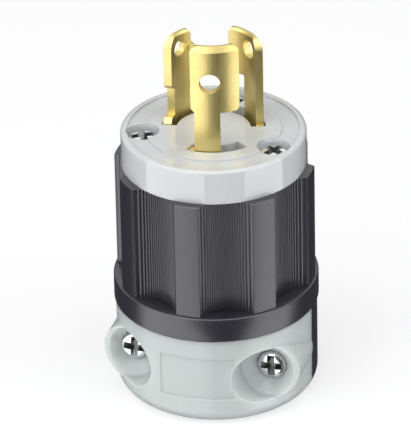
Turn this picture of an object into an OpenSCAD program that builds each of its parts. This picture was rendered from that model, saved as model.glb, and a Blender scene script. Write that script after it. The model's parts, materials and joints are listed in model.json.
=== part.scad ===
// Locking power plug, 15 A, two poles and earth, three curved blades on one circle.
// Millimetres. Z runs up the plug's axis from the mouth of the cord clamp to the blade tips.
// The cord clamp's white half faces -Y. Angles are measured round the axis from +X.

/* [Blades] */
// Outer diameter of the circle that the blades stand on
blade_circle_d = 17.5; // [17.2:0.1:17.8]
// Thickness of the blade strip
blade_t = 1.4; // [1.2:0.05:1.5]
// Height of the hot blade's tip above the face
hot_reach = 19.8; // [18:0.1:21.5]
// Height of the two side blades' tips above the face
side_reach = 15.9; // [15.2:0.1:19]
// Height of the hooks' undersides above the face
hook_lift = 7.4; // [6.2:0.1:8.4]
// Height of the round holes above the face
blade_hole_lift = 13; // [12:0.1:13.6]
// Height of the bevel round the outside of each tip
tip_bevel = 1; // [0.4:0.1:1.2]
// Height of the bevel round the inside of each tip
inner_bevel = 0.4; // [0.2:0.1:0.8]
// Radius of the side blades' tip corners away from each other
side_corner_r = 2.6; // [1:0.1:3]
// Radius of the side blades' tip corners towards each other
back_corner_r = 1.2; // [0.4:0.1:2]
// Radius of the hooks' lower corners
heel_r = 1; // [0.4:0.1:1.4]

/* [Hot blade] */
// Angle at which its stem is centred
hot_at = 280.2; // [278:0.1:282]
// Angle that its stem spans
hot_stem = 30; // [26:0.5:32]
// Angle that its hook reaches past the stem
hot_hook = 23; // [16:0.5:24]
// Angle that its head steps back past the stem's other edge
hot_shoulder = 4; // [2:0.5:6]
// Angle from the stem's centre to the hole
hot_hole_shift = 3.5; // [0:0.5:8]
// Diameter of its round hole
hot_hole_d = 3.6; // [2.8:0.1:4.2]
// Radius of its tip's corners
hot_corner_r = 1.3; // [0.4:0.1:2]
// Size of the slope under its shoulder
shoulder_slope = 0.4; // [0.2:0.1:0.8]
// Depth of its root's shoulder under the face
shoulder_drop = 0.2; // [0.1:0.1:1]

/* [Neutral blade] */
// Angle at which its stem is centred
neutral_at = 42; // [41:0.1:43.5]
// Angle that its stem spans
neutral_stem = 35.5; // [30:0.5:37]
// Angle that its hook reaches past the stem
neutral_hook = 24.5; // [18:0.5:25.5]
// Angle from the stem's centre to the hole
neutral_hole_shift = 6.4; // [0:0.2:10]
// Diameter of its round hole
neutral_hole_d = 3.3; // [2.8:0.1:4]

/* [Earth blade] */
// Angle at which its stem is centred
earth_at = 153.4; // [152:0.1:155]
// Angle that its stem spans
earth_stem = 33.5; // [28:0.5:35]
// Angle that its hook reaches past the stem
earth_hook = 8.5; // [5:0.5:10]
// Angle from the stem's centre to the hole
earth_hole_shift = 3; // [0:0.5:6]
// Diameter of its round hole
earth_hole_d = 2.9; // [2.4:0.1:3.4]
// Height of its hook's underside above the face
earth_hook_lift = 6.1; // [5:0.1:8]
// Height of its root's foot above the face
foot_lift = 0.9; // [0.4:0.1:1.4]
// Size of the slope on that foot
foot_slope = 0.8; // [0.4:0.1:1]
// Diameter of the round nub on its edge
nub_d = 1.5; // [1:0.1:2]
// Height of the nub above the face
nub_lift = 12.3; // [10:0.1:13]
// How far the nub stands inside the blade's circle
nub_inset = 0.4; // [0.1:0.1:0.6]

/* [Ring] */
// Diameter of the ring under the sleeve, which sets every round size but the blades'
ring_d = 35.7; // [35:0.1:37]
// Height of the ring
ring_h = 4.6; // [3.6:0.1:6]
// Radius of the ring's two outer edges
ring_edge_r = 0.3; // [0.1:0.05:0.6]

/* [Face] */
// How far the front face lies inside the ring's diameter, all round
face_inset = 1.85; // [1.4:0.05:2.2]
// Depth of the face's skirt
face_h = 6.2; // [5:0.1:8]
// Radius of the face's outer edge
face_edge_r = 0.6; // [0.3:0.05:0.9]
// Width of the raised rim
rim_w = 1.2; // [0.8:0.1:1.4]
// Depth of the field inside the rim
field_drop = 0.3; // [0.15:0.05:0.5]
// Diameter of the raised middle
middle_d = 23.4; // [21:0.2:25]
// Diameter of the wells for the assembly screws
well_d = 5.8; // [5.2:0.1:6]
// Depth of those wells
well_depth = 2.7; // [2.4:0.1:4.4]
// How far the wells' centres lie inside the shell's bore
well_inset = 0.9; // [0.7:0.05:1]
// Angle of the first well
well_1_at = 91.5; // [88:0.5:93]
// Angle of the second well
well_2_at = 199; // [197:0.5:201]
// Angle of the third well
well_3_at = 344; // [340:0.5:346]
// Radial width of the open slots round the blades
slot_w = 2.6; // [2.2:0.1:2.8]
// Angle left open at the clockwise end of a slot, past the blade's head
slot_end = 5.5; // [2:0.5:6]
// Angle left open at the other end
slot_far_end = 8; // [3:0.5:9]
// Gap between a blade's outside and its slot
slot_gap = 0.25; // [0.15:0.05:0.4]
// Depth of the open slots
slot_depth = 4.6; // [3:0.1:4.9]
// Height of the face's spigot inside the shell
spigot_h = 5; // [4:0.1:6]

/* [Ribbed sleeve] */
// Height of the ribbed sleeve between ring and face
sleeve_h = 21.5; // [20:0.1:26]
// How far the flat lands lie inside the ring's diameter, all round
land_inset = 0.4; // [0.2:0.05:0.8]
// Number of lands, and of scallops between them
land_count = 8; // [6:1:9]
// Angle that a land spans
land_angle = 14.5; // [9:0.5:16]
// Angle at which the first land is centred
land_at = 0.7; // [0:0.1:2]
// Depth of a scallop under the lands
scallop_depth = 2.85; // [2.2:0.05:2.95]
// Number of fine ribs in each scallop
rib_count = 22; // [12:1:24]
// Height of the fine ribs
rib_h = 0.22; // [0.1:0.02:0.3]

/* [Cord clamp] */
// How far the clamp lies inside the ring's diameter, all round
clamp_inset = 0.3; // [0.2:0.05:0.6]
// Height of the clamp
clamp_h = 16.9; // [16:0.1:19]
// Radius of the clamp's bottom edge
clamp_edge_r = 3; // [1.5:0.1:3.2]
// How far in front of the axis the two halves part
parting = 1; // [0.5:0.1:1.6]
// Diameter of the cord's channel
cord_d = 11; // [9:0.1:12]
// Flare round the channel's mouth
mouth_flare = 0.8; // [0.4:0.1:1.2]
// Depth of the gripping grooves in that channel
groove_depth = 0.5; // [0.2:0.05:0.6]
// Width of the gripping grooves
groove_w = 1.8; // [1.4:0.1:2]
// Number of gripping grooves
groove_count = 4; // [2:1:5]
// How far the clamp screws lie inside the clamp's side
boss_inset = 5.15; // [4.9:0.05:5.4]
// Height of the clamp screws above the bottom
boss_z = 8.8; // [8:0.1:9.5]
// Diameter of the screw bosses
boss_d = 10.6; // [10:0.1:10.8]
// Height of the bosses over the parting, at their outer edge
boss_h = 8.5; // [8:0.1:9.2]
// Angle that the bosses' fronts slope at
boss_slope = 22; // [15:1:30]
// Thickness of the rim round the funnel in each boss
boss_rim = 0.3; // [0.2:0.05:0.8]
// Height of the clamp screws' seats over the parting
seat_h = 6.3; // [5.4:0.05:6.6]
// Gap round the clamp screws' heads
pocket_gap = 0.25; // [0.15:0.05:0.6]
// Depth of that gap under the funnel
pocket_depth = 0.85; // [0.4:0.05:1.4]
// Width of the sunk panel, as an angle round the clamp
panel_angle = 44; // [30:1:46]
// Angle at which the panel is centred
panel_at = 274.5; // [270:0.5:278]
// Height of the panel
panel_h = 8; // [5:0.1:9]
// Depth of the panel
panel_depth = 0.2; // [0.1:0.05:0.5]
// Distance of the panel above the clamp's middle
panel_lift = 0.8; // [0:0.1:1]

/* [Screws] */
// Diameter of the clamp and assembly screws' heads
head_d = 4.6; // [4.2:0.1:4.9]
// Height of those heads
head_h = 1.8; // [1.4:0.1:2]
// Diameter of the clamp screws' shanks
clamp_screw_d = 2.9; // [2.5:0.1:3.2]
// Length of the clamp screws' shanks
clamp_screw_l = 13.5; // [12:0.1:15]
// Diameter of the assembly screws' shanks
assembly_screw_d = 2.5; // [2:0.1:2.7]
// Length of the assembly screws' shanks
assembly_screw_l = 14; // [11:0.1:15]
// Outer diameter of the threaded inserts behind the parting
insert_d = 5.4; // [4.6:0.1:6]
// Length of those inserts
insert_l = 6; // [4:0.1:7]

/* [Terminals] */
// Distance of the terminal pads inside the blades
pad_inset = 0.15; // [0.1:0.05:0.3]
// Distance of the pads under the top of the terminal block
pad_drop = 1.5; // [1:0.1:1.8]
// Width of the terminal pads on the blades' tails
pad_w = 8.4; // [7.4:0.1:8.8]
// Height of those pads
pad_h = 8.6; // [8:0.1:9]
// Thickness of the wire clamp plates
plate_t = 1; // [0.8:0.05:1.2]
// Height of those plates
plate_h = 7; // [6:0.1:7.4]
// Depth of the plates' folded edges
plate_fold = 1; // [0.6:0.1:1.2]
// Diameter of the terminal screws' shanks
terminal_screw_d = 3; // [2.6:0.1:3.4]
// Diameter of the terminal screws' heads
terminal_head_d = 5.8; // [5:0.1:6.2]
// Height of the terminal screws' heads
terminal_head_h = 1.8; // [1.4:0.1:2]
// Length of the terminal screws' shanks
terminal_screw_l = 4.2; // [3.6:0.1:4.4]
// Width and depth of the slots in their heads
terminal_slot = 0.9; // [0.6:0.1:1]
// Height of the terminal block
block_h = 12; // [11.6:0.1:12.8]
// Thickness of the shell's wall behind a scallop
wall_t = 1.5; // [1.2:0.1:1.8]
// Width of the ledge that the terminal block stands on
ledge_w = 1.5; // [1:0.1:2]
// Diameter of the posts that take the assembly screws
post_d = 4.6; // [4.4:0.1:4.8]
// Height of the blades' widest part inside the face's spigot
root_h = 1.6; // [1:0.1:2]
// Thickness of the shell's floor
floor_t = 2.5; // [1.6:0.1:3.2]

/* [Fits] */
// Clearance between pieces that slide together
slip = 0.1; // [0.05:0.01:0.15]

/* [Hidden] */
$fn = 96;
over = 1; // how far a cutting shape runs past what it cuts

// Heights up the axis
ring_top_z = clamp_h + ring_h;
rim_z = ring_top_z + sleeve_h;
face_z = rim_z + face_h;
floor_z = clamp_h + floor_t;
spigot_z = rim_z - spigot_h;
block_top_z = spigot_z - slip;
ledge_z = block_top_z - block_h;

// Radii
blade_ro = blade_circle_d / 2;
blade_ri = blade_ro - blade_t;
slot_ro = blade_ro + slot_gap;
slot_ri = slot_ro - slot_w;
ring_r = ring_d / 2;
face_r = ring_r - face_inset;
land_r = ring_r - land_inset;
clamp_r = ring_r - clamp_inset;
scallop_floor_r = land_r - scallop_depth;
bore_r = scallop_floor_r - wall_t;
chamber_r = bore_r - ledge_w;
spigot_r = bore_r - 2 * slip;
well_r = bore_r - well_inset;

// Where the blades' roots change width
root_z = spigot_z + root_h; // underside of the slots' narrow part, over the blades' widest part
root_lug = 3; // angle that the widest part reaches further, at each end
slot_floor_z = face_z - slot_depth;
root_top_z = slot_floor_z - slip;
shoulder_z = face_z - shoulder_drop;
foot_z = face_z + foot_lift;

// A blade is the list of the angles and heights named here; its clockwise side comes first
STEM_FROM = 0;
STEM_TO = 1;
HEAD_FROM = 2;
HEAD_TO = 3;
ROOT_FROM = 4;
ROOT_TO = 5;
HOLE_AT = 6;
HOOK_Z = 7;
ROOT_Z_FROM = 8; // top of the root on the clockwise side
ROOT_Z_TO = 9; // and on the other side
CORNER_FROM = 10;
CORNER_TO = 11;
TIP_Z = 12;
HOLE_D = 13;
slot_spare = 0.7; // angle between the end of a root and the end of its slot
function blade_of(at, stem, back, hook, hole_shift, hook_z, root_z_from, root_z_to, corner_from, corner_to, reach, hole_d) = [
    at - stem / 2,
    at + stem / 2,
    at - stem / 2 - back,
    at + stem / 2 + hook,
    at - stem / 2 - back - slot_end + slot_spare,
    at + stem / 2 + hook + slot_far_end - slot_spare,
    at + hole_shift,
    hook_z,
    root_z_from,
    root_z_to,
    corner_from,
    corner_to,
    face_z + reach,
    hole_d
];
hot = blade_of(
    hot_at, hot_stem, hot_shoulder, hot_hook, hot_hole_shift,
    face_z + hook_lift, shoulder_z, root_top_z, hot_corner_r, hot_corner_r, hot_reach, hot_hole_d
);
neutral = blade_of(
    neutral_at, neutral_stem, 0, neutral_hook, neutral_hole_shift,
    face_z + hook_lift, shoulder_z, root_top_z, side_corner_r, back_corner_r, side_reach, neutral_hole_d
);
earth = blade_of(
    earth_at, earth_stem, 0, earth_hook, earth_hole_shift,
    face_z + earth_hook_lift, root_top_z, foot_z, back_corner_r, side_corner_r, side_reach, earth_hole_d
);
function middle(blade) = (blade[STEM_FROM] + blade[STEM_TO]) / 2;

// Terminals, in a frame that faces out along each blade's own angle
pad_x = blade_ri - pad_inset;
pad_top_z = block_top_z - pad_drop;
pad_z = pad_top_z - pad_h;
terminal_z = pad_z + 0.45 * pad_h;
plate_x = pad_x + blade_t;
plate_w = pad_w + 2 * (slip + plate_t);
terminal_head_x = plate_x + plate_t;
tail_spare = 1.5; // angle left open on each side of a blade's tail

// Assembly screws
post_r = post_d / 2;
post_top_z = rim_z - slip;
assembly_seat_z = face_z - well_depth;
well_angles = [well_1_at, well_2_at, well_3_at];

// Clamp
boss_x = clamp_r - boss_inset;
boss_front = parting + boss_h;
head_seat = parting + seat_h;
funnel_z = head_seat + pocket_depth; // where the funnel meets the head's pocket
pocket_r = head_d / 2 + pocket_gap;
funnel_r = boss_d / 2 - boss_rim;
insert_gap = slip / 2;

BLACK_NYLON = [0.17, 0.17, 0.18];
WHITE_NYLON = [0.9, 0.92, 0.92];
CLEAR_NYLON = [0.82, 0.86, 0.85];
BRASS = [0.83, 0.72, 0.38];
ZINC = [0.8, 0.81, 0.82];
SILVER = [0.78, 0.78, 0.76];
GREEN = [0.1, 0.5, 0.25];

function polar(r, a) = [r * cos(a), r * sin(a)];

// A block that follows the circle from angle a1 to a2 and from radius r1 to r2
module arc_block(r1, r2, a1, a2, z1, z2) {
    rotate([0, 0, a1])
        rotate_extrude(angle = a2 - a1)
            translate([r1, z1])
                square([r2 - r1, z2 - z1]);
}

// A cylinder that points away from the axis at an angle, from radius r1 to r2
module radial_pin(d, a, z, r1, r2) {
    rotate([0, 0, a])
        translate([r1, 0, z])
            rotate([0, 90, 0])
                cylinder(d = d, h = r2 - r1);
}

// Turns what points up so that it points to the front, at the clamp screw on one side
module to_clamp_screw(side) {
    translate([side * boss_x, 0, boss_z])
        rotate([90, 0, 0])
            children();
}

// ---- Front face ----

module face_profile() {
    difference() {
        union() {
            translate([0, rim_z]) square([face_r, face_h - face_edge_r]);
            translate([0, rim_z]) square([face_r - face_edge_r, face_h]);
            translate([face_r - face_edge_r, face_z - face_edge_r]) circle(r = face_edge_r);
            translate([0, spigot_z]) square([spigot_r, spigot_h + over]);
        }
        translate([middle_d / 2, face_z - field_drop])
            square([face_r - rim_w - middle_d / 2, field_drop + over]);
    }
}

module blade_slot(blade) {
    from = blade[ROOT_FROM] - slot_spare;
    to = blade[ROOT_TO] + slot_spare;
    arc_block(slot_ri, slot_ro, from, to, slot_floor_z, face_z + over);
    arc_block(blade_ri - slip, blade_ro + slip, from, to, root_z, slot_floor_z + over);
    arc_block(blade_ri - slip, blade_ro + slip, from - root_lug, to + root_lug, spigot_z - over, root_z);
}

module assembly_well(angle) {
    translate(concat(polar(well_r, angle), 0)) {
        translate([0, 0, assembly_seat_z]) cylinder(d = well_d, h = well_depth + over);
        translate([0, 0, spigot_z - over]) cylinder(d = assembly_screw_d + 2 * slip, h = face_z - spigot_z);
        translate([0, 0, spigot_z - over]) cylinder(r = post_r + slip, h = spigot_h + over);
    }
}

module front_face() {
    color(WHITE_NYLON)
        difference() {
            rotate_extrude() face_profile();
            for (blade = [hot, neutral, earth]) blade_slot(blade);
            for (angle = well_angles) assembly_well(angle);
        }
}

// ---- Blades ----

// The cut that rounds a blade's corner at an angle and a height. turn is 1 where the blade lies
// anticlockwise of the corner and -1 where it lies clockwise of it; up is 1 for a top corner and
// -1 for a lower one. The round is a touch larger than the corner, so that it crosses the
// blade's faces and doesn't just touch them.
module corner_cut(angle, z, turn, up, r) {
    translate([0, 0, z])
        rotate([0, 0, angle])
            mirror([0, turn < 0 ? 1 : 0, 0])
                mirror([0, 0, up < 0 ? 1 : 0])
                    translate([blade_ri - over, 0, -r])
                        difference() {
                            translate([0, -over, 0]) cube([blade_t + 2 * over, over + r, r + over]);
                            translate([-over, r, 0]) rotate([0, 90, 0]) cylinder(r = 1.01 * r, h = blade_t + 4 * over);
                        }
}

// What a blade's strip loses between two angles and two heights
module blade_notch(from, to, z1, z2) {
    arc_block(blade_ri - over, blade_ro + over, from, to, z1, z2);
}

// The strip that a blade is cut from: all of its angle and height, with the bevelled tip
module blade_strip(blade) {
    from = blade[ROOT_FROM] - root_lug;
    tail_z = pad_top_z - over;
    tip_z = blade[TIP_Z];
    rotate([0, 0, from])
        rotate_extrude(angle = blade[ROOT_TO] + root_lug - from)
            polygon([
                [blade_ri, tail_z], [blade_ro, tail_z], [blade_ro, tip_z - tip_bevel],
                [blade_ro - 0.4 * blade_t, tip_z], [blade_ri + 0.2 * blade_t, tip_z], [blade_ri, tip_z - inner_bevel]
            ]);
}

module blade(blade) {
    beyond = 5; // angle that a notch runs past the strip
    from = blade[ROOT_FROM] - root_lug - beyond;
    to = blade[ROOT_TO] + root_lug + beyond;
    above = blade[TIP_Z] + over;
    below = pad_top_z - 2 * over;
    difference() {
        union() {
            difference() {
                blade_strip(blade);
                // clockwise of the stem: over the lug, over the root, under the head, beside the head
                blade_notch(from, blade[ROOT_FROM], root_z - slip, above);
                blade_notch(blade[ROOT_FROM] - over, blade[STEM_FROM], blade[ROOT_Z_FROM], blade[HOOK_Z]);
                blade_notch(blade[ROOT_FROM] - over, blade[HEAD_FROM], blade[HOOK_Z] - over, above);
                // and anticlockwise of it
                blade_notch(blade[ROOT_TO], to, root_z - slip, above);
                blade_notch(blade[STEM_TO], blade[ROOT_TO] + over, blade[ROOT_Z_TO], blade[HOOK_Z]);
                blade_notch(blade[HEAD_TO], blade[ROOT_TO] + over, blade[HOOK_Z] - over, above);
                // the tail under the root is as wide as the stem
                blade_notch(from, blade[STEM_FROM], below, spigot_z);
                blade_notch(blade[STEM_TO], to, below, spigot_z);
            }
            // terminal pad
            rotate([0, 0, middle(blade)])
                translate([pad_x, -pad_w / 2, pad_z])
                    cube([blade_t, pad_w, pad_h]);
        }
        radial_pin(blade[HOLE_D], blade[HOLE_AT], face_z + blade_hole_lift, blade_ri - over, blade_ro + over);
        radial_pin(terminal_screw_d + 2 * slip, middle(blade), terminal_z, pad_x - over, plate_x + over);
        corner_cut(blade[HEAD_FROM], blade[TIP_Z], 1, 1, blade[CORNER_FROM]);
        corner_cut(blade[HEAD_TO], blade[TIP_Z], -1, 1, blade[CORNER_TO]);
        corner_cut(blade[HEAD_TO], blade[HOOK_Z], -1, -1, heel_r);
    }
}

// A slanting cut along the edge that lies at an angle and a height; tilt turns it about that edge
module edge_chamfer(angle, z, tilt, size) {
    rotate([0, 0, angle])
        translate([blade_ri - over, 0, z])
            rotate([tilt, 0, 0])
                translate([0, -size, -size])
                    cube([blade_t + 2 * over, 2 * size, size]);
}

// The hot blade's head narrows to the stem with a small slope on its clockwise side
module hot_blade() {
    color(BRASS)
        difference() {
            blade(hot);
            edge_chamfer(hot[HEAD_FROM], hot[HOOK_Z] + 1.5 * shoulder_slope, -45, 2.5 * shoulder_slope);
        }
}

module neutral_blade() { color(BRASS) blade(neutral); }

// Angle that the nub's centre lies past the edge it stands on
nub_turn = 1;

// The earth blade's root shows as a foot with a slope, and a round nub stands at its far edge
module earth_blade() {
    color(BRASS) {
        difference() {
            blade(earth);
            edge_chamfer(earth[ROOT_TO], foot_z - foot_slope, 135, 2.5 * foot_slope);
        }
        radial_pin(nub_d, earth[HEAD_FROM] - nub_turn, face_z + nub_lift, blade_ri - nub_inset, blade_ro - nub_inset);
    }
}

// ---- Terminals ----

module clamp_plate(angle) {
    rotate([0, 0, angle])
        difference() {
            union() {
                translate([plate_x, -plate_w / 2, terminal_z - plate_h / 2])
                    cube([plate_t, plate_w, plate_h]);
                for (side = [-1, 1])
                    translate([plate_x - plate_fold, side * (plate_w - plate_t) / 2 - plate_t / 2, terminal_z - plate_h / 2])
                        cube([plate_fold + plate_t, plate_t, plate_h]);
            }
            translate([plate_x - over, 0, terminal_z])
                rotate([0, 90, 0])
                    cylinder(d = terminal_screw_d + 4 * slip, h = plate_t + 2 * over);
        }
}

module terminal_screw(angle) {
    rotate([0, 0, angle])
        translate([terminal_head_x, 0, terminal_z])
            rotate([0, 90, 0])
                difference() {
                    union() {
                        pan_head(terminal_head_d, terminal_head_h);
                        translate([0, 0, -terminal_screw_l]) cylinder(d = terminal_screw_d, h = terminal_screw_l + 0.5);
                    }
                    translate([-terminal_head_d, -terminal_slot / 2, terminal_head_h - terminal_slot])
                        cube([2 * terminal_head_d, terminal_slot, terminal_slot + over]);
                }
}

module hot_clamp_plate() { color(BRASS) clamp_plate(middle(hot)); }
module neutral_clamp_plate() { color(BRASS) clamp_plate(middle(neutral)); }
module earth_clamp_plate() { color(BRASS) clamp_plate(middle(earth)); }
module hot_terminal_screw() { color(BRASS) terminal_screw(middle(hot)); }
module neutral_terminal_screw() { color(SILVER) terminal_screw(middle(neutral)); }
module earth_terminal_screw() { color(GREEN) terminal_screw(middle(earth)); }

// ---- Terminal block ----

module terminal_bay(blade) {
    bay_w = plate_w + 4 * slip;
    rotate([0, 0, middle(blade)]) {
        // room for pad, plate and screw head, open to the side and down to the wiring chamber
        translate([pad_x - slip, -bay_w / 2, ledge_z - over])
            cube([bore_r, bay_w, pad_top_z + slip - ledge_z + over]);
        translate([pad_x - terminal_screw_l, 0, terminal_z])
            rotate([0, 90, 0])
                cylinder(d = terminal_screw_d + 1, h = terminal_screw_l + over);
    }
    arc_block(
        blade_ri - 2 * slip, blade_ro + 2 * slip, blade[STEM_FROM] - tail_spare, blade[STEM_TO] + tail_spare,
        pad_top_z - over, block_top_z + over
    );
}

module terminal_block() {
    color(WHITE_NYLON)
        difference() {
            translate([0, 0, ledge_z]) cylinder(r = spigot_r, h = block_h);
            for (blade = [hot, neutral, earth]) terminal_bay(blade);
            for (angle = well_angles)
                translate(concat(polar(well_r, angle), ledge_z - over))
                    cylinder(r = post_r + 2 * slip, h = block_h + 2 * over);
        }
}

// ---- Outer shell ----

// Outline of one scallop: an arc cut with fine ribs, closed well outside the sleeve.
// The arc's two ends lie on the lands' corners.
scallop_half = (360 / land_count - land_angle) / 2;
scallop_chord = land_r * sin(scallop_half);
scallop_sag = land_r * cos(scallop_half) - scallop_floor_r;
scallop_r = (scallop_chord * scallop_chord + scallop_sag * scallop_sag) / (2 * scallop_sag);
scallop_x = scallop_floor_r + scallop_r;
scallop_turn = asin(scallop_chord / scallop_r);
rib_turn = 2 * scallop_turn / rib_count;
function rib_point(turn, depth) = [scallop_x - (scallop_r + depth) * cos(turn), -(scallop_r + depth) * sin(turn)];
function rib_points(i) = let (start = -scallop_turn + i * rib_turn) [
    rib_point(start + 0.05 * rib_turn, 0), rib_point(start + 0.3 * rib_turn, rib_h),
    rib_point(start + 0.55 * rib_turn, rib_h), rib_point(start + 0.8 * rib_turn, 0)
];
scallop_points = concat(
    [rib_point(-scallop_turn, 0)],
    [for (i = [0:rib_count - 1]) each rib_points(i)],
    [rib_point(scallop_turn, 0)],
    [polar(land_r + 2, -scallop_half), polar(land_r + 2, scallop_half)]
);

module ribbed_sleeve() {
    translate([0, 0, ring_top_z - over])
        difference() {
            cylinder(r = land_r, h = sleeve_h + over);
            for (i = [0:land_count - 1])
                rotate([0, 0, land_at + (i + 0.5) * 360 / land_count])
                    translate([0, 0, -over])
                        linear_extrude(sleeve_h + 3 * over)
                            polygon(scallop_points);
        }
}

module ring() {
    rotate_extrude()
        union() {
            translate([0, clamp_h]) square([ring_r - ring_edge_r, ring_h]);
            translate([0, clamp_h + ring_edge_r]) square([ring_r, ring_h - 2 * ring_edge_r]);
            for (z = [clamp_h + ring_edge_r, ring_top_z - ring_edge_r])
                translate([ring_r - ring_edge_r, z]) circle(r = ring_edge_r);
        }
}

// The whole clamp's outer form, with its rounded bottom edge
module clamp_form(top) {
    rotate_extrude()
        union() {
            square([clamp_r - clamp_edge_r, top]);
            translate([0, clamp_edge_r]) square([clamp_r, top - clamp_edge_r]);
            translate([clamp_r - clamp_edge_r, clamp_edge_r]) circle(r = clamp_edge_r);
        }
}

// The cord's way in, with a flared mouth and gripping grooves
module cord_channel() {
    cord_r = cord_d / 2;
    groove_pitch = clamp_h / (groove_count + 1);
    translate([0, 0, -over]) cylinder(r = cord_r, h = floor_z + 2 * over);
    translate([0, 0, -over]) cylinder(r1 = cord_r + mouth_flare + over, r2 = cord_r, h = mouth_flare + over);
    for (i = [1:groove_count])
        translate([0, 0, i * groove_pitch])
            rotate_extrude()
                polygon([
                    [cord_r - over, -groove_w / 2 - over], [cord_r - over, groove_w / 2 + over],
                    [cord_r + groove_depth, groove_w / 2 - groove_depth], [cord_r + groove_depth, groove_depth - groove_w / 2]
                ]);
}

module outer_shell() {
    color(BLACK_NYLON)
        difference() {
            union() {
                difference() {
                    union() {
                        ribbed_sleeve();
                        ring();
                    }
                    translate([0, 0, ledge_z]) cylinder(r = bore_r, h = rim_z);
                    translate([0, 0, floor_z]) cylinder(r = chamber_r, h = rim_z);
                }
                intersection() {
                    clamp_form(clamp_h + over);
                    translate([-clamp_r - over, -parting, -over])
                        cube([2 * (clamp_r + over), clamp_r + over + parting, clamp_h + 1.5 * over]);
                }
                screw_posts();
            }
            cord_channel();
            for (angle = well_angles)
                translate(concat(polar(well_r, angle), post_top_z - assembly_screw_l))
                    cylinder(d = assembly_screw_d + slip, h = assembly_screw_l + over);
            for (side = [-1, 1])
                to_clamp_screw(side) {
                    translate([0, 0, parting - insert_l]) cylinder(d = insert_d + 2 * insert_gap, h = insert_l + over);
                    translate([0, 0, head_seat - clamp_screw_l - slip])
                        cylinder(d = clamp_screw_d + 2 * slip, h = clamp_screw_l);
                }
        }
}

// Posts inside the shell that take the assembly screws, standing on the bore's ledge
module screw_posts() {
    intersection() {
        translate([0, 0, ledge_z - over]) cylinder(r = bore_r + 0.5, h = post_top_z - ledge_z + over);
        for (angle = well_angles)
            translate(concat(polar(well_r, angle), ledge_z - over))
                cylinder(r = post_r, h = post_top_z - ledge_z + over);
    }
}

// ---- Cord clamp ----

// Boss of one clamp screw, with its front sloping back towards the outer edge
module boss(side) {
    reach = clamp_r;
    difference() {
        to_clamp_screw(side) translate([0, 0, parting]) cylinder(d = boss_d, h = reach);
        translate([side * (boss_x + boss_d / 2), -boss_front, boss_z])
            rotate([0, 0, side * boss_slope])
                translate([-2 * boss_d, -2 * boss_d, -boss_d])
                    cube([4 * boss_d, 2 * boss_d, 2 * boss_d]);
    }
}

// Funnel down to a clamp screw's head, the head's pocket and the shank's hole
module boss_bore(side) {
    funnel_l = funnel_r - pocket_r;
    to_clamp_screw(side) {
        cylinder(d = clamp_screw_d + 4 * slip, h = clamp_r);
        translate([0, 0, head_seat])
            rotate_extrude()
                polygon([
                    [0, 0], [pocket_r, 0], [pocket_r, funnel_z - head_seat],
                    [funnel_r, funnel_z - head_seat + funnel_l], [funnel_r + 0.5, clamp_r + over], [0, clamp_r + over]
                ]);
    }
}

module panel_cut() {
    arc_block(
        clamp_r - panel_depth, clamp_r + over, panel_at - panel_angle / 2, panel_at + panel_angle / 2,
        (clamp_h - panel_h) / 2 + panel_lift, (clamp_h + panel_h) / 2 + panel_lift
    );
}

module cord_clamp() {
    top = clamp_h - slip;
    color(CLEAR_NYLON)
        difference() {
            union() {
                intersection() {
                    clamp_form(top);
                    translate([-clamp_r - over, -clamp_r - over, -over])
                        cube([2 * (clamp_r + over), clamp_r + over - parting, clamp_h + 2 * over]);
                }
                for (side = [-1, 1]) boss(side);
            }
            for (side = [-1, 1]) boss_bore(side);
            cord_channel();
            panel_cut();
        }
}

// ---- Screws and inserts ----

module pan_head(d, h) {
    rotate_extrude()
        polygon([[0, 0], [d / 2, 0], [d / 2, 0.45 * h], [0.44 * d, 0.75 * h], [0.3 * d, h], [0, h]]);
}

module cross_head_screw(d, l) {
    difference() {
        union() {
            pan_head(head_d, head_h);
            translate([0, 0, -l]) cylinder(d = d, h = l + 0.5);
        }
        for (turn = [0, 90])
            rotate([0, 0, turn])
                translate([-0.39 * head_d, -0.1 * head_d, 0.3 * head_h])
                    cube([0.78 * head_d, 0.2 * head_d, head_h]);
    }
}

module assembly_screw(angle) {
    color(ZINC)
        translate(concat(polar(well_r, angle), assembly_seat_z))
            cross_head_screw(assembly_screw_d, assembly_screw_l);
}

module cord_clamp_screw(side) {
    color(ZINC)
        to_clamp_screw(side)
            translate([0, 0, head_seat])
                cross_head_screw(clamp_screw_d, clamp_screw_l - 2 * slip);
}

module cord_clamp_insert(side) {
    color(BRASS)
        to_clamp_screw(side)
            translate([0, 0, parting - insert_l])
                difference() {
                    cylinder(d = insert_d, h = insert_l - slip);
                    translate([0, 0, -over]) cylinder(d = clamp_screw_d + slip, h = insert_l + 2 * over);
                }
}

module assembly_screw_1() { assembly_screw(well_1_at); }
module assembly_screw_2() { assembly_screw(well_2_at); }
module assembly_screw_3() { assembly_screw(well_3_at); }
module cord_clamp_screw_left() { cord_clamp_screw(-1); }
module cord_clamp_screw_right() { cord_clamp_screw(1); }
module cord_clamp_insert_left() { cord_clamp_insert(-1); }
module cord_clamp_insert_right() { cord_clamp_insert(1); }

front_face();
terminal_block();
outer_shell();
cord_clamp();
hot_blade();
neutral_blade();
earth_blade();
hot_clamp_plate();
neutral_clamp_plate();
earth_clamp_plate();
hot_terminal_screw();
neutral_terminal_screw();
earth_terminal_screw();
assembly_screw_1();
assembly_screw_2();
assembly_screw_3();
cord_clamp_screw_left();
cord_clamp_screw_right();
cord_clamp_insert_left();
cord_clamp_insert_right();
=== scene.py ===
"""Looks of a locking power plug: its finishes, its screws, and the studio that shows it.

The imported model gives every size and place. Lengths here are in metres, and the plug stands
on the floor with its blades up.
"""

import json
import logging
import math
from dataclasses import dataclass
from enum import Enum
from typing import Any, Sequence, Union

import bmesh
import bpy
from mathutils import Euler, Matrix, Vector


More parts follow.
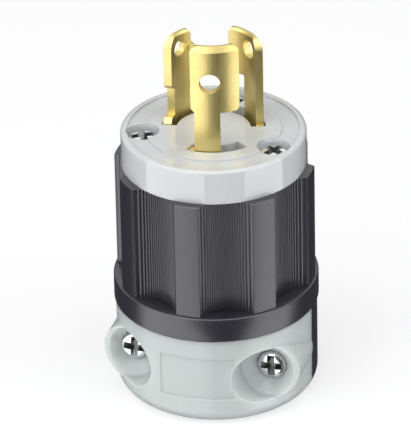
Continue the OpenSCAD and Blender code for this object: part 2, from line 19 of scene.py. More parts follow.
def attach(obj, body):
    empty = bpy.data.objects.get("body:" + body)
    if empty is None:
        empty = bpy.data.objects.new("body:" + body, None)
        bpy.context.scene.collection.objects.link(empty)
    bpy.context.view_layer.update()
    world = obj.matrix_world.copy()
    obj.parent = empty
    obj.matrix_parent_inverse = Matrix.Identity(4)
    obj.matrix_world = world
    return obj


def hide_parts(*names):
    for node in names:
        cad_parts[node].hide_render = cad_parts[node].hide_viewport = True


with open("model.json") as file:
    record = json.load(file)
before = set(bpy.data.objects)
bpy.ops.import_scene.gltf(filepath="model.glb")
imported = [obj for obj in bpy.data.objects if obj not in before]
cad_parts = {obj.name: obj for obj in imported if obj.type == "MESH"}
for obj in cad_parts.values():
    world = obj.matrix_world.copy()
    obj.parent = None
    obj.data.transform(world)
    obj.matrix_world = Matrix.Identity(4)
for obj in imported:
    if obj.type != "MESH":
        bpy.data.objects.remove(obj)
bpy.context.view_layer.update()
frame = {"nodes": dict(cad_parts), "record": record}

LOG = logging.getLogger("plug")
MM = 0.001
BODY = "root"
Number = Union[int, float]
Colour = tuple[float, float, float]


# ---- Node trees -------------------------------------------------------------------------


class Wire:
    """A value that runs through a node tree and can be used in Python expressions."""

    def __init__(self, writer: "TreeWriter", socket: Any) -> None:
        """Wraps an output socket.

        Args:
            writer: the tree writer that adds the nodes.
            socket: the output socket that holds the value.
        """
        self.writer = writer
        self.socket = socket

    def math(self, operation: str, *others: Any) -> "Wire":
        """Adds one Math node with this value as its first input.

        Args:
            operation: the Math node's operation.
            others: wires or numbers for its other inputs.

        Returns:
            The node's value.
        """
        return self.writer.math(operation, self, *others)

    def __add__(self, other: Any) -> "Wire":
        """This value plus another."""
        return self.math("ADD", other)

    def __sub__(self, other: Any) -> "Wire":
        """This value less another."""
        return self.math("SUBTRACT", other)

    def __rsub__(self, other: Any) -> "Wire":
        """A plain number less this value."""
        return self.writer.math("SUBTRACT", other, self)

    def __mul__(self, other: Any) -> "Wire":
        """This value times another."""
        return self.math("MULTIPLY", other)

    def __truediv__(self, other: Any) -> "Wire":
        """This value over another."""
        return self.math("DIVIDE", other)

    __radd__ = __add__
    __rmul__ = __mul__


class TreeWriter:
    """Adds nodes to one node tree."""

    prefix = "ShaderNode"

    def __init__(self, tree: Any) -> None:
        """Keeps the tree that the nodes go into."""
        self.tree = tree

    def node(self, kind: str, settings: dict[str, Any] | None = None, **inputs: Any) -> Any:
        """Adds a node.

        Args:
            kind: the node's type, which may leave out the tree's own prefix.
            settings: its properties, set first; a ramp's stops are given as "stops".
            inputs: socket names, with spaces written as underscores, or i0, i1 for
                sockets by number, and the values or wires that go in.

        Returns:
            The node.
        """
        node = self.tree.nodes.new(kind if kind.startswith("Shader") else self.prefix + kind)
        for name, value in (settings or {}).items():
            if name == "stops":
                ramp = node.color_ramp.elements
                while len(ramp) < len(value):
                    ramp.new(0.5)
                for stop, (place, shade) in zip(ramp, value):
                    stop.position = place
                    stop.color = (shade, shade, shade, 1) if isinstance(shade, float) else (*shade, 1)
            else:
                setattr(node, name, value)
        for name, value in inputs.items():
            by_number = name[0] == "i" and name[1:].isdigit()
            self.feed(node.inputs[int(name[1:]) if by_number else name.replace("_", " ")], value)
        return node

    def feed(self, socket: Any, value: Any) -> None:
        """Sets a socket to a plain value, or links a wire or an output socket to it."""
        if isinstance(value, Wire):
            self.tree.links.new(value.socket, socket)
        elif isinstance(value, bpy.types.NodeSocket):
            self.tree.links.new(value, socket)
        else:
            socket.default_value = value

    def wire(self, node: Any, output: Union[int, str] = 0) -> Wire:
        """Wraps one output of a node."""
        return Wire(self, node.outputs[output])

    def math(self, operation: str, *values: Any) -> Wire:
        """Adds a Math node and gives its value."""
        node = self.tree.nodes.new("ShaderNodeMath")
        node.operation = operation
        for socket, value in zip(node.inputs, values):
            self.feed(socket, value)
        return Wire(self, node.outputs[0])


class Finish:
    """A material: a tree with one Principled shader."""

    def __init__(self, name: str, roughness: float, **sockets: Any) -> None:
        """Makes the material and sets the shader's plain values.

        Args:
            name: the material's name.
            roughness: the mean roughness.
            sockets: other sockets of the Principled shader.
        """
        self.material = bpy.data.materials.new(name)
        self.material.use_nodes = True
        self.write = TreeWriter(self.material.node_tree)
        self.write.tree.nodes.clear()
        self.shader = self.write.node("BsdfPrincipled", Roughness=roughness, **sockets)
        self.output = self.write.node("OutputMaterial", Surface=self.shader.outputs[0])
        self.place = self.write.node("TexCoord").outputs["Object"]

    def noise(self, scale: float, detail: float = 3.0, stretch: Sequence[Number] = (1, 1, 1)) -> Wire:
        """Noise from 0 to 1 in the object's own space.

        Args:
            scale: waves in a metre.
            detail: octaves.
            stretch: how much finer the pattern runs along each axis.

        Returns:
            The noise's value.
        """
        placed = self.write.node("Mapping", Vector=self.place, Scale=tuple(stretch))
        return self.write.wire(
            self.write.node("TexNoise", Vector=placed.outputs[0], Scale=scale, Detail=detail)
        )

    def spread(self, value: Wire, low: float, high: float) -> Wire:
        """A value from 0 to 1, turned to one from low to high."""
        return value * (high - low) + low

    def blend(self, factor: Wire, first: Colour, second: Colour) -> Wire:
        """A mix of two colours by a factor."""
        node = self.write.node("Mix", {"data_type": "RGBA"}, i0=factor)
        node.inputs[6].default_value = (*first, 1)
        node.inputs[7].default_value = (*second, 1)
        return Wire(self.write, node.outputs[2])

    def set(self, socket: str, value: Any) -> None:
        """Feeds a socket of the shader."""
        self.write.feed(self.shader.inputs[socket], value)

    def relief(self, height: Wire, distance: float, edge: float = 0.0) -> None:
        """Bumps the surface by a height from 0 to 1, and rounds its edges.

        Args:
            height: the height.
            distance: metres that a height of 1 stands for.
            edge: radius of the rounded edges, or 0 for none.
        """
        inputs: dict[str, Any] = {"Height": height, "Distance": distance, "Strength": 1.0}
        if edge:
            inputs["Normal"] = self.write.node("Bevel", {"samples": 6}, Radius=edge).outputs[0]
        self.set("Normal", self.write.node("Bump", **inputs).outputs[0])


# ---- Finishes ---------------------------------------------------------------------------


def black_nylon() -> bpy.types.Material:
    """Moulded black nylon with a fine satin grain."""
    finish = Finish("black_nylon", 0.3, Specular_IOR_Level=1.0)
    cloud = finish.noise(900)
    finish.set("Base Color", finish.blend(cloud, (0.010, 0.009, 0.014), (0.018, 0.016, 0.024)))
    finish.set("Roughness", finish.spread(finish.noise(2500), 0.26, 0.36))
    finish.relief(finish.noise(9000), 0.004 * MM, 0.15 * MM)
    return finish.material


def white_nylon() -> bpy.types.Material:
    """Glossy white nylon of the face, slightly see-through at its edges."""
    finish = Finish("white_nylon", 0.12, Subsurface_Weight=0.3, Subsurface_Scale=1.5 * MM, Coat_Weight=0.45)
    finish.shader.inputs["Coat Roughness"].default_value = 0.03
    finish.shader.inputs["Subsurface Radius"].default_value = (1.0, 1.0, 0.9)
    cloud = finish.noise(250)
    finish.set("Base Color", finish.blend(cloud, (0.57, 0.595, 0.60), (0.61, 0.63, 0.635)))
    finish.set("Roughness", finish.spread(finish.noise(1500), 0.04, 0.09))
    finish.relief(finish.noise(300), 0.006 * MM, 0.2 * MM)
    return finish.material


def milky_nylon() -> bpy.types.Material:
    """Natural nylon of the clamp's front half, milky and faintly green."""
    finish = Finish("milky_nylon", 0.3, Subsurface_Weight=1.0, Subsurface_Scale=4.0 * MM)
    finish.shader.inputs["Subsurface Radius"].default_value = (1.0, 1.0, 0.8)
    cloud = finish.noise(110)
    finish.set("Base Color", finish.blend(cloud, (0.53, 0.57, 0.535), (0.55, 0.60, 0.61)))
    finish.set("Roughness", finish.spread(finish.noise(1500), 0.2, 0.3))
    finish.relief(finish.noise(500), 0.03 * MM, 0.3 * MM)
    return finish.material


def rolled_brass() -> bpy.types.Material:
    """Rolled brass strip, brushed along the blades."""
    finish = Finish("rolled_brass", 0.3, Metallic=1.0)
    brush = finish.noise(1500, 4.0, (6, 6, 0.4))
    tarnish = finish.noise(260, 5.0)
    streak = brush * 0.6 + tarnish * 0.4
    finish.set("Base Color", finish.blend(streak, (0.50, 0.37, 0.10), (0.90, 0.77, 0.35)))
    finish.set("Roughness", finish.spread(brush, 0.28, 0.44))
    finish.relief(brush, 0.01 * MM, 0.1 * MM)
    return finish.material


def bright_zinc() -> bpy.types.Material:
    """Bright zinc plate on steel screws."""
    finish = Finish("bright_zinc", 0.15, Metallic=1.0)
    cloud = finish.noise(1500)
    finish.set("Base Color", finish.blend(cloud, (0.78, 0.79, 0.80), (0.9, 0.9, 0.91)))
    finish.set("Roughness", finish.spread(cloud, 0.1, 0.25))
    finish.relief(finish.noise(3000), 0.006 * MM, 0.08 * MM)
    return finish.material


def nickel_plate() -> bpy.types.Material:
    """Nickel plate on the neutral terminal's screw."""
    finish = Finish("nickel_plate", 0.3, Metallic=1.0)
    cloud = finish.noise(1500)
    finish.set("Base Color", finish.blend(cloud, (0.62, 0.6, 0.56), (0.74, 0.72, 0.68)))
    finish.relief(finish.noise(3000), 0.006 * MM, 0.08 * MM)
    return finish.material


def green_dye() -> bpy.types.Material:
    """Green dyed finish on the earth terminal's screw."""
    finish = Finish("green_dye", 0.35, Metallic=0.6)
    cloud = finish.noise(1500)
    finish.set("Base Color", finish.blend(cloud, (0.02, 0.22, 0.08), (0.04, 0.34, 0.13)))
    finish.relief(finish.noise(3000), 0.006 * MM, 0.08 * MM)
    return finish.material


def painted_recess_shade() -> bpy.types.Material:
    """A dark metal that paints the shade inside the screws' crosses."""
    finish = Finish("painted_recess_shade", 0.35, Metallic=0.9)
    cloud = finish.noise(1500)
    # The dark base colour is painted shade for the cross recess; the plating there is the same zinc as the head.
    finish.set("Base Color", finish.blend(cloud, (0.11, 0.125, 0.115), (0.19, 0.20, 0.19)))
    finish.relief(finish.noise(3000), 0.006 * MM)
    return finish.material


class Slot(Enum):
    """The record's material slots, with the function that makes each finish."""

    BLACK_NYLON = "black_nylon"
    WHITE_NYLON = "white_nylon"
    CLEAR_NYLON = "clear_nylon"
    BRASS = "brass"
    ZINC = "zinc"
    SILVER_PLATE = "silver_plate"
    GREEN_PAINT = "green_paint"


MAKERS = {
    Slot.BLACK_NYLON: black_nylon,
    Slot.WHITE_NYLON: white_nylon,
    Slot.CLEAR_NYLON: milky_nylon,
    Slot.BRASS: rolled_brass,
    Slot.ZINC: bright_zinc,
    Slot.SILVER_PLATE: nickel_plate,
    Slot.GREEN_PAINT: green_dye,
}


class Finishes:
    """Makes each finish once and dresses the CAD nodes."""

    def __init__(self) -> None:
        """Makes every finish."""
        self.made = {slot: maker() for slot, maker in MAKERS.items()}

    def __getitem__(self, slot: Slot) -> bpy.types.Material:
        """The material of a slot."""
        return self.made[slot]

    def dress_nodes(self) -> None:
        """Gives every CAD node the finish that the record names for it."""
        slots = {part["node"]: part["material_slot"] for part in frame["record"]["subparts"]}
        for name, node in frame["nodes"].items():
            node.data.materials.clear()
            node.data.materials.append(self[Slot(slots[name])])
            LOG.info("dressed %s in %s", name, slots[name])


# ---- Studio -----------------------------------------------------------------------------


@dataclass(frozen=True)
class SoftBox:
    """A square soft light.

    Attributes:
        name: the lamp's name.
        azimuth: degrees round the plug from +X.
        height: degrees above the floor.
        distance: metres from the plug.
        size: width and height in metres.
        power: watts.
        card: brightness of the card under it, or 0 for none.
    """

    name: str
    azimuth: float
    height: float
    distance: float
    size: tuple[float, float]
    power: float
    card: float = 0.0


@dataclass
class Studio:
    """The pale floor, the soft boxes, the world's light and the camera."""

    view_azimuth: float = 287.32
    view_height: float = 29.125
    view_distance: float = 908.2 * MM
    view_roll: float = -1.158
    lens: float = 459.5
    aim: tuple[float, float, float] = (-1.59 * MM, -0.50 * MM, 32.0 * MM)
    room_light: float = 0.22
    room_dim: float = 0.14
    room_gloss: float = 1.0
    floor_white: float = 1.1
    floor_share: float = 0.6
    card_height: float = -28.0
    card_tall: float = 0.62
    boxes: tuple[SoftBox, ...] = (
        SoftBox("box_left", 235.0, 32.0, 0.6, (0.84, 0.76), 3.3, 1.9),
        SoftBox("box_right", 352.0, 32.0, 0.6, (0.54, 0.76), 2.0, 1.9),
        SoftBox("top", 287.0, 80.0, 0.7, (0.5, 0.5), 1.7),
    )

    def towards(self, azimuth: float, height: float) -> Vector:
        """The unit vector from the plug to a point given by two angles in degrees."""
        a, h = math.radians(azimuth), math.radians(height)
        return Vector((math.cos(a) * math.cos(h), math.sin(a) * math.cos(h), math.sin(h)))

    def build(self) -> None:
        """Makes everything in the studio."""
        self.make_camera()
        for box in self.boxes:
            self.make_box(box)
            if box.card:
                self.make_card(box)
        self.make_world()
        self.make_floor()
        bpy.context.scene.view_settings.view_transform = "Standard"

    def make_camera(self) -> None:
        """Sets a long lens on the plug's front, at the height of a person at a table."""
        data = bpy.data.cameras.new("camera")
        data.sensor_fit = "HORIZONTAL"
        data.lens = self.lens
        data.clip_start = 0.01
        camera = bpy.data.objects.new("camera", data)
        way = self.towards(self.view_azimuth, self.view_height)
        aim = Vector(self.aim)
        turn = way.to_track_quat("Z", "Y").to_matrix().to_4x4()
        roll = Matrix.Rotation(math.radians(self.view_roll), 4, "Z")
        camera.matrix_world = Matrix.Translation(aim + way * self.view_distance) @ turn @ roll
        bpy.context.scene.collection.objects.link(camera)
        bpy.context.scene.camera = camera

    def make_box(self, box: SoftBox) -> None:
        """Hangs one soft box and turns it to the plug."""
        data = bpy.data.lights.new(box.name, "AREA")
        data.shape = "RECTANGLE"
        data.size, data.size_y = box.size
        data.energy = box.power
        lamp = bpy.data.objects.new(box.name, data)
        way = self.towards(box.azimuth, box.height)
        lamp.location = Vector(self.aim) + way * box.distance
        lamp.rotation_euler = way.to_track_quat("Z", "Y").to_euler()
        bpy.context.scene.collection.objects.link(lamp)

    def make_world(self) -> None:
        """A plain pale world that the camera sees as white."""
        world = bpy.data.worlds.new("studio")
        world.use_nodes = True
        bpy.context.scene.world = world
        write = TreeWriter(world.node_tree)
        write.tree.nodes.clear()
        ray = write.node("LightPath")
        up = write.node("SeparateXYZ", Vector=write.node("TexCoord").outputs["Generated"]).outputs[2]
        sky = Wire(write, up).math("SUBTRACT", 0.2).math("MULTIPLY", 5.0).math("MAXIMUM", 0.0).math("MINIMUM", 1.0)
        seen = write.wire(ray, "Is Camera Ray") + write.wire(ray, "Is Glossy Ray") * sky * self.room_gloss
        dim = self.room_light - write.wire(ray, "Is Glossy Ray") * self.room_dim
        room = write.node("Background", Color=(0.9, 0.93, 1.0, 1), Strength=dim)
        white = write.node("Background", Color=(1, 1, 1, 1), Strength=1.0)
        both = write.node("MixShader", i0=seen, i1=room.outputs[0], i2=white.outputs[0])
        write.node("OutputWorld", Surface=both.outputs[0])

    def make_floor(self) -> None:
        """A wide white floor that keeps the plug's shadow and lets its gloss see the cards."""
        mesh = bpy.data.meshes.new("floor")
        side = 1.5
        mesh.from_pydata([(-side, -side, 0), (side, -side, 0), (side, side, 0), (-side, side, 0)], [], [(0, 1, 2, 3)])
        floor = bpy.data.objects.new("floor", mesh)
        bpy.context.scene.collection.objects.link(floor)
        finish = Finish("floor_paper", 0.9)
        finish.set("Base Color", finish.blend(finish.noise(30), (0.9, 0.9, 0.9), (0.92, 0.92, 0.92)))
        write = finish.write
        ray = write.node("LightPath")
        seen, glossy = write.wire(ray, "Is Camera Ray"), write.wire(ray, "Is Glossy Ray")
        white = write.node("Emission", Color=(1, 1, 1, 1), Strength=self.floor_white)
        paper = write.node("MixShader", i0=seen * self.floor_share, i1=finish.shader.outputs[0], i2=white.outputs[0])
        clear = write.node("BsdfTransparent")
        both = write.node("MixShader", i0=glossy, i1=paper.outputs[0], i2=clear.outputs[0])
        write.feed(finish.output.inputs["Surface"], both.outputs[0])
        mesh.materials.append(finish.material)

    def make_card(self, box: SoftBox) -> None:
        """Hangs a bright card under a soft box, which shows only in the plug's gloss."""
        turn = self.towards(box.azimuth, self.card_height).to_track_quat("Z", "Y")
        middle = Vector(self.aim) + self.towards(box.azimuth, self.card_height) * box.distance
        half, tall = box.size[0] / 2, self.card_tall / 2
        corners = [middle + turn @ Vector((x, y, 0)) for x, y in ((-half, -tall), (half, -tall), (half, tall), (-half, tall))]
        mesh = bpy.data.meshes.new(box.name + "_card")
        mesh.from_pydata(corners, [], [(0, 1, 2, 3)])
        card = bpy.data.objects.new(mesh.name, mesh)
        bpy.context.scene.collection.objects.link(card)
        for kind in ("camera", "diffuse", "transmission", "volume_scatter", "shadow"):
            setattr(card, "visible_" + kind, False)
        finish = Finish(mesh.name, 1.0)
        glow = finish.write.node("Emission", Color=(1, 1, 1, 1), Strength=box.card)
        finish.write.feed(finish.output.inputs["Surface"], glow.outputs[0])
        finish.material.cycles.emission_sampling = "NONE"
        mesh.materials.append(finish.material)


# ---- Geometry node trees ----------------------------------------------------------------


class Shaper(TreeWriter):
    """A geometry node tree that is built up and then applied to an object."""

    prefix = "GeometryNode"

    def __init__(self, name: str) -> None:
        """Makes an empty tree with one geometry going in and one coming out."""
        super().__init__(bpy.data.node_groups.new(name, "GeometryNodeTree"))
        self.values: dict[str, Any] = {}
        for way in ("INPUT", "OUTPUT"):
            self.tree.interface.new_socket("Geometry", in_out=way, socket_type="NodeSocketGeometry")
        self.entry = self.tree.nodes.new("NodeGroupInput")

    @property
    def base(self) -> Any:
        """The geometry that comes in."""
        return self.entry.outputs[0]

    def size(self, name: str, value: Number, kind: str = "NodeSocketFloat") -> Wire:
        """Adds a named input for a size and gives its value.

        Args:
            name: the input's name.
            value: what the modifier sets it to.
            kind: the socket's type.

        Returns:
            The input as a wire.
        """
        socket = self.tree.interface.new_socket(name, in_out="INPUT", socket_type=kind)
        self.values[socket.identifier] = value
        return Wire(self, self.entry.outputs[name])

    def split(self, vector: Any) -> list[Wire]:
        """The three parts of a vector."""
        node = self.node("ShaderNodeSeparateXYZ", Vector=vector)
        return [Wire(self, out) for out in node.outputs]

    def join(self, x: Any, y: Any, z: Any) -> Any:
        """A vector made of three values."""
        return self.node("ShaderNodeCombineXYZ", X=x, Y=y, Z=z).outputs[0]

    def revolve(self, rows: int, steps: int, rule: Any) -> Any:
        """Turns the section that comes in round the Z axis.

        The section runs down its outer side, and starts and ends on the axis or in one place.

        Args:
            rows: how many points the section has, its first one again at the end.
            steps: how many flats the round is made of.
            rule: takes radius, angle and height and gives the new radius.

        Returns:
            The closed mesh.
        """
        grid = self.node("MeshGrid", Size_X=1.0, Size_Y=1.0, Vertices_X=steps + 1, Vertices_Y=rows)
        along, across, _ = self.split(self.node("InputPosition").outputs[0])
        turn = (along + 0.5) * math.tau
        row = ((across + 0.5) * (rows - 1)).math("ROUND")
        point = self.node("SampleIndex", {"data_type": "FLOAT_VECTOR"}, Geometry=self.base, Index=row)
        self.feed(point.inputs["Value"], self.node("InputPosition").outputs[0])
        radius, _, height = self.split(point.outputs[0])
        radius = rule(radius, turn, height)
        place = self.join(radius * turn.math("COSINE"), radius * turn.math("SINE"), height)
        bent = self.node("SetPosition", Geometry=grid.outputs[0], Position=place)
        outward = self.node("FlipFaces", Mesh=bent.outputs[0])
        return self.node("MergeByDistance", Geometry=outward.outputs[0], Distance=0.0005 * MM).outputs[0]

    def painted(self, geometry: Any, material: bpy.types.Material) -> Any:
        """The geometry with one material."""
        return self.node("SetMaterial", Geometry=geometry, Material=material).outputs[0]

    def close(self, geometry: Any) -> None:
        """Links the last geometry to the tree's way out."""
        self.tree.links.new(geometry, self.tree.nodes.new("NodeGroupOutput").inputs[0])

    def apply(
        self, name: str, points: Sequence[Sequence[float]], turns: Sequence[Sequence[float]] = ()
    ) -> bpy.types.Object:
        """Runs the tree on a string of points and keeps the result as a plain mesh.

        Args:
            name: the new piece's name.
            points: the points that go in.
            turns: three angles for each of the last points, which the tree reads as "turn".

        Returns:
            The piece.
        """
        mesh = bpy.data.meshes.new(name)
        mesh.from_pydata([tuple(point) for point in points], [], [])
        if turns:
            plain = [0.0] * (3 * (len(points) - len(turns))) + [math.radians(a) for turn in turns for a in turn]
            mesh.attributes.new("turn", "FLOAT_VECTOR", "POINT").data.foreach_set("vector", plain)
        seed = bpy.data.objects.new(name, mesh)
        bpy.context.scene.collection.objects.link(seed)
        modifier = seed.modifiers.new("shape", "NODES")
        modifier.node_group = self.tree
        for identifier, value in self.values.items():
            modifier[identifier] = value
        shaped = seed.evaluated_get(bpy.context.evaluated_depsgraph_get())
        result = bpy.data.meshes.new_from_object(shaped)
        seed.modifiers.clear()
        seed.data = result
        bpy.data.meshes.remove(mesh)
        result.name = name
        return seed


def face_out(piece: bpy.types.Object, angle: float = 30.0) -> None:
    """Points a closed mesh's faces outwards and shades it smooth between its edges.

    Args:
        piece: the object.
        angle: degrees from which an edge stays sharp.
    """
    shape = bmesh.new()
    shape.from_mesh(piece.data)
    bmesh.ops.recalc_face_normals(shape, faces=shape.faces)
    for face in shape.faces:
        face.smooth = True
    shape.to_mesh(piece.data)
    shape.free()
    piece.data.set_sharp_from_angle(angle=math.radians(angle))


# ---- Grip -------------------------------------------------------------------------------


@dataclass
class GripShell:
    """The black sleeve with its lands and ribbed scallops, the ring and the clamp's rear half.

    Attributes:
        ring_top: height at which the sleeve stands on the ring.
        ledge: height of the ledge that the terminal block stands on.
        rim: height of the sleeve's rim.
        land_r: radius of the flat lands.
        floor_r: radius at the bottom of a scallop.
        bore_r: radius of the bore above the ledge.
        chamber_r: radius of the chamber under it.
        edge_r: radius of the rim's outer edge.
        lands: how many lands there are.
        land_angle: degrees that a land spans.
        land_turn: degrees from +X to the first land.
        ribs: fine ribs in each scallop.
        rib_depth: depth of the grooves between them.
        groove_power: how much narrower the grooves are than the ribs; 1 makes them alike.
        post_ring: radius of the circle that the screw posts stand on.
        post_r: radius of a post.
        hole_r: radius of the hole in a post.
        post_angles: degrees at which the posts stand.
    """

    ring_top: float = 21.45 * MM
    ledge: float = 25.9 * MM
    rim: float = 43.0 * MM
    land_r: float = 17.45 * MM
    floor_r: float = 14.6 * MM
    bore_r: float = 13.1 * MM
    chamber_r: float = 11.6 * MM
    edge_r: float = 0.25 * MM
    lands: int = 8
    land_angle: float = 14.5
    land_turn: float = 0.7
    ribs: int = 22
    rib_depth: float = 0.15 * MM
    groove_power: float = 2.0
    post_ring: float = 12.2 * MM
    post_r: float = 2.3 * MM
    hole_r: float = 1.3 * MM
    post_angles: tuple[float, ...] = (91.5, 199.0, 344.0)

    def section(self) -> list[tuple[float, float, float]]:
        """The sleeve's wall cut open: radius, nothing, height."""
        corner = [
            (
                self.land_r - self.edge_r + self.edge_r * math.sin(math.radians(a)),
                0.0,
                self.rim - self.edge_r + self.edge_r * math.cos(math.radians(a)),
            )
            for a in range(0, 91, 18)
        ]
        wall = [
            (self.land_r, 0.0, self.ring_top),
            (self.chamber_r, 0.0, self.ring_top),
            (self.chamber_r, 0.0, self.ledge),
            (self.bore_r, 0.0, self.ledge),
            (self.bore_r, 0.0, self.rim),
        ]
        return corner + wall + corner[:1]

    def scallop(self, shaper: Shaper) -> Any:
        """The rule that gives the radius at an angle.

        Args:
            shaper: the tree that the rule's nodes go into.

        Returns:
            A function of radius, angle and height.
        """
        period = math.tau / self.lands
        half = (period - math.radians(self.land_angle)) / 2
        chord = self.land_r * math.sin(half)
        sag = self.land_r * math.cos(half) - self.floor_r
        arc_r = (chord * chord + sag * sag) / (2 * sag)
        ribs = shaper.size("Ribs in a scallop", self.ribs, "NodeSocketInt")
        depth = shaper.size("Groove depth", self.rib_depth)
        centre = shaper.size("Scallop centre", self.floor_r + arc_r)
        arc = shaper.size("Scallop radius", arc_r)

        def rule(radius: Wire, turn: Wire, height: Wire) -> Wire:
            """The outer wall's radius; the inner wall keeps its own."""
            start = math.radians(self.land_turn) + period / 2
            away = (turn - start).math("WRAP", period / 2, -period / 2)
            inside = away.math("ABSOLUTE").math("LESS_THAN", half)
            across = centre * away.math("SINE")
            reach = centre * away.math("COSINE") - (arc * arc - across * across).math("MAXIMUM", 0.0).math("SQRT")
            wave = ((away * ribs * (math.pi / half)).math("COSINE") * 0.5 + 0.5).math("POWER", self.groove_power)
            cut = (self.land_r - reach) + depth * wave * inside
            outer = radius.math("GREATER_THAN", self.bore_r + 0.5 * MM)
            return radius - cut * inside * outer

        return rule

    def make_sleeve(self, material: bpy.types.Material) -> bpy.types.Object:
        """Builds the ribbed sleeve.

        Args:
            material: its finish.

        Returns:
            The piece.
        """
        shaper = Shaper("ribbed_sleeve")
        rows = self.section()
        steps = self.lands * (self.ribs * 8 + 84)
        walls = shaper.revolve(len(rows), steps, self.scallop(shaper))
        shaper.close(shaper.painted(shaper.node("RealizeInstances", Geometry=walls).outputs[0], material))
        piece = shaper.apply("ribbed_sleeve", rows)
        face_out(piece, 40.0)
        return piece

    def make_rear(self, material: bpy.types.Material) -> bpy.types.Object:
        """Builds the ring, the floor and the clamp's rear half from the solid under the sleeve.

        Args:
            material: its finish.

        Returns:
            The piece.
        """
        shape = bmesh.new()
        shape.from_mesh(frame["nodes"]["outer_shell"].data)
        bmesh.ops.remove_doubles(shape, verts=shape.verts, dist=0.001 * MM)
        everything = shape.verts[:] + shape.edges[:] + shape.faces[:]
        cut = bmesh.ops.bisect_plane(
            shape, geom=everything, plane_co=(0, 0, self.ring_top), plane_no=(0, 0, 1), clear_outer=True
        )
        rim = [item for item in cut["geom_cut"] if isinstance(item, bmesh.types.BMEdge)]
        bmesh.ops.triangle_fill(shape, edges=rim, use_beauty=True, normal=(0, 0, 1))
        for angle in self.post_angles:
            self.add_post(shape, math.radians(angle))
        mesh = bpy.data.meshes.new("shell_rear")
        shape.to_mesh(mesh)
        shape.free()
        mesh.materials.append(material)
        piece = bpy.data.objects.new("shell_rear", mesh)
        bpy.context.scene.collection.objects.link(piece)
        face_out(piece)
        return piece

    def add_post(self, shape: bmesh.types.BMesh, angle: float) -> None:
        """Adds one tube that takes an assembly screw."""
        x, y = self.post_ring * math.cos(angle), self.post_ring * math.sin(angle)
        low, high = self.ledge - 0.5 * MM, self.rim - 0.1 * MM
        corners = ((self.post_r, low), (self.post_r, high), (self.hole_r, high), (self.hole_r, low))
        steps = 32
        rings = []
        for radius, height in corners:
            ring = []
            for i in range(steps):
                turn = math.tau * i / steps
                ring.append(shape.verts.new((x + radius * math.cos(turn), y + radius * math.sin(turn), height)))
            rings.append(ring)
        for first, second in zip(rings, rings[1:] + rings[:1]):
            for i in range(steps):
                j = (i + 1) % steps
                shape.faces.new((first[i], first[j], second[j], second[i]))

    def build(self, finishes: "Finishes") -> list[bpy.types.Object]:
        """Builds both pieces and puts them in the shell's place."""
        pieces = [self.make_sleeve(finishes[Slot.BLACK_NYLON]), self.make_rear(finishes[Slot.BLACK_NYLON])]
        for piece in pieces:
            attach(piece, BODY)
            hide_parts("outer_shell")
            LOG.info("built %s with %d faces", piece.name, len(piece.data.polygons))
        return pieces


# ---- Screws -----------------------------------------------------------------------------


@dataclass(frozen=True)
class Seat:
    """Where a screw sits.

    Attributes:
        place: the middle of its head's underside.
        turn: degrees about X, Y and Z that turn it from upright.
    """

    place: tuple[float, float, float]
    turn: tuple[float, float, float]


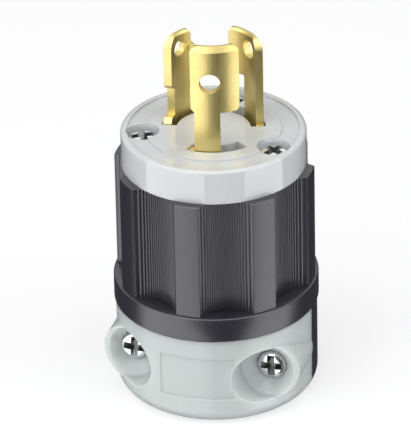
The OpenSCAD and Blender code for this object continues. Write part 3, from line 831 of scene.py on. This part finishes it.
@dataclass
class CrossScrews:
    """Cross-head screws of one size.

    Attributes:
        name: the piece's name.
        nodes: the solids that it stands for.
        seats: where the screws sit.
        shank_d: diameter over the thread.
        shank_l: length of the shank.
        head_d: diameter of the head.
        head_h: height of the head.
        pitch: distance between two turns of the thread.
        thread: depth of the thread.
    """

    name: str
    nodes: tuple[str, ...]
    seats: tuple[Seat, ...]
    shank_d: float
    shank_l: float
    head_d: float = 5.0 * MM
    head_h: float = 1.8 * MM
    pitch: float = 0.9 * MM
    thread: float = 0.25 * MM

    def section(self) -> list[tuple[float, float, float]]:
        """Head and shank cut open: radius, nothing, height, from the crown down to the point."""
        r, h, shank = self.head_d / 2, self.head_h, self.shank_d / 2
        crown = [(0.0, h), (0.55 * r, 0.985 * h), (0.78 * r, 0.94 * h), (0.91 * r, 0.85 * h), (0.97 * r, 0.7 * h)]
        side = [(0.995 * r, 0.52 * h), (r, 0.34 * h), (r, 0.04 * h), (0.985 * r, 0.0), (shank, 0.0)]
        count = int(8 * self.shank_l / self.pitch)
        stem = [(shank, -self.shank_l * (i + 1) / count) for i in range(count - 8)]
        tip = [(0.75 * shank, -self.shank_l * 0.97), (0.0, -self.shank_l)]
        return [(x, 0.0, z) for x, z in crown + side + stem + tip]

    def winding(self, shaper: Shaper) -> Any:
        """The rule that cuts the thread into the shank."""
        pitch = shaper.size("Thread pitch", self.pitch)
        depth = shaper.size("Thread depth", self.thread)

        def rule(radius: Wire, turn: Wire, height: Wire) -> Wire:
            """Radius less the thread's depth, where the shank is."""
            lead = (height / pitch - turn * (1 / math.tau)).math("FRACT")
            flank = (lead - 0.5).math("ABSOLUTE") * 2.0
            on_shank = height.math("LESS_THAN", -1.0 * MM) * radius.math("GREATER_THAN", 0.45 * self.shank_d)
            return radius - depth * flank * on_shank

        return rule

    def arm(self, shaper: Shaper, turn: float) -> Any:
        """One arm of the cross that is cut into the head, narrower at its foot.

        Args:
            shaper: the tree that the arm's nodes go into.
            turn: degrees that the arm is turned.

        Returns:
            The arm's mesh.
        """
        deep = 0.7 * self.head_h
        block = shaper.node("MeshCube", Size=(0.84 * self.head_d, 0.26 * self.head_d, 2 * deep))
        x, y, z = shaper.split(shaper.node("InputPosition").outputs[0])
        narrow = shaper.join(x * (z * (0.6 / deep) + 1.0), y * (z * (0.35 / deep) + 1.0), z + self.head_h)
        shaped = shaper.node("SetPosition", Geometry=block.outputs[0], Position=narrow)
        placed = shaper.node("Transform", Geometry=shaped.outputs[0], Rotation=Euler((0, 0, math.radians(turn))))
        return placed.outputs[0]

    def build(self, finishes: "Finishes", recess: bpy.types.Material) -> bpy.types.Object:
        """Builds the screws and puts them in the solids' places.

        Args:
            finishes: the plug's finishes.
            recess: the dark material inside the cross, which paints the shade there.

        Returns:
            The piece.
        """
        shaper = Shaper(self.name)
        rows = self.section()
        cross = shaper.node("MeshBoolean", {"operation": "DIFFERENCE", "solver": "EXACT"})
        shaper.feed(cross.inputs["Mesh 1"], shaper.revolve(len(rows), 48, self.winding(shaper)))
        # The cut walls of the cross take the dark recess material, which paints their shade.
        for turn in (0, 90):
            shaper.feed(cross.inputs["Mesh 2"], shaper.painted(self.arm(shaper, turn), recess))
        index = Wire(shaper, shaper.node("InputIndex").outputs[0])
        turned = shaper.node("InputNamedAttribute", {"data_type": "FLOAT_VECTOR"}, Name="turn")
        screws = shaper.node(
            "InstanceOnPoints",
            Points=shaper.base,
            Selection=index.math("GREATER_THAN", len(rows) - 0.5),
            Instance=cross.outputs[0],
            Rotation=turned.outputs[0],
        )
        whole = shaper.node("RealizeInstances", Geometry=screws.outputs[0])
        inside = shaper.node("MaterialSelection", Material=recess)
        shaper.close(
            shaper.node(
                "SetMaterial",
                Geometry=whole.outputs[0],
                Selection=1 - Wire(shaper, inside.outputs[0]),
                Material=finishes[Slot.ZINC],
            ).outputs[0]
        )
        piece = shaper.apply(self.name, [*rows, *(seat.place for seat in self.seats)], [seat.turn for seat in self.seats])
        face_out(piece)
        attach(piece, BODY)
        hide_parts(*self.nodes)
        LOG.info("built %s with %d faces", piece.name, len(piece.data.polygons))
        return piece


def well_seat(azimuth: float, turn: float) -> Seat:
    """The seat of one assembly screw, in its well in the face.

    Args:
        azimuth: degrees round the plug from +X.
        turn: degrees that its cross is turned.

    Returns:
        The seat.
    """
    ring, height = 12.2 * MM, 46.5 * MM
    a = math.radians(azimuth)
    return Seat((ring * math.cos(a), ring * math.sin(a), height), (0.0, 0.0, turn))


def clamp_seat(side: float, turn: float) -> Seat:
    """The seat of one clamp screw, whose head looks to the front.

    Args:
        side: -1 for the left screw, 1 for the right one.
        turn: degrees that its cross is turned.

    Returns:
        The seat.
    """
    return Seat((side * 12.4 * MM, -7.3 * MM, 8.8 * MM), (90.0, turn, 0.0))


ASSEMBLY_SCREWS = CrossScrews(
    "assembly_screws",
    ("assembly_screw_1", "assembly_screw_2", "assembly_screw_3"),
    (well_seat(91.5, 10.0), well_seat(199.0, 30.0), well_seat(344.0, 60.0)),
    shank_d=2.5 * MM,
    shank_l=14.0 * MM,
)
CLAMP_SCREWS = CrossScrews(
    "clamp_screws",
    ("cord_clamp_screw_left", "cord_clamp_screw_right"),
    (clamp_seat(-1.0, 3.0), clamp_seat(1.0, -2.0)),
    shank_d=2.9 * MM,
    shank_l=13.3 * MM,
    pitch=1.1 * MM,
)


# ---- The plug ---------------------------------------------------------------------------


def main() -> None:
    """Dresses the plug, builds its grip and screws, and sets the studio."""
    logging.basicConfig(level=logging.INFO)
    finishes = Finishes()
    finishes.dress_nodes()
    GripShell().build(finishes)
    # The cross recesses get a dark material that paints the shade in them.
    recess = painted_recess_shade()
    for screws in (ASSEMBLY_SCREWS, CLAMP_SCREWS):
        screws.build(finishes, recess)
    Studio().build()


if __name__ == "__main__":
    main()
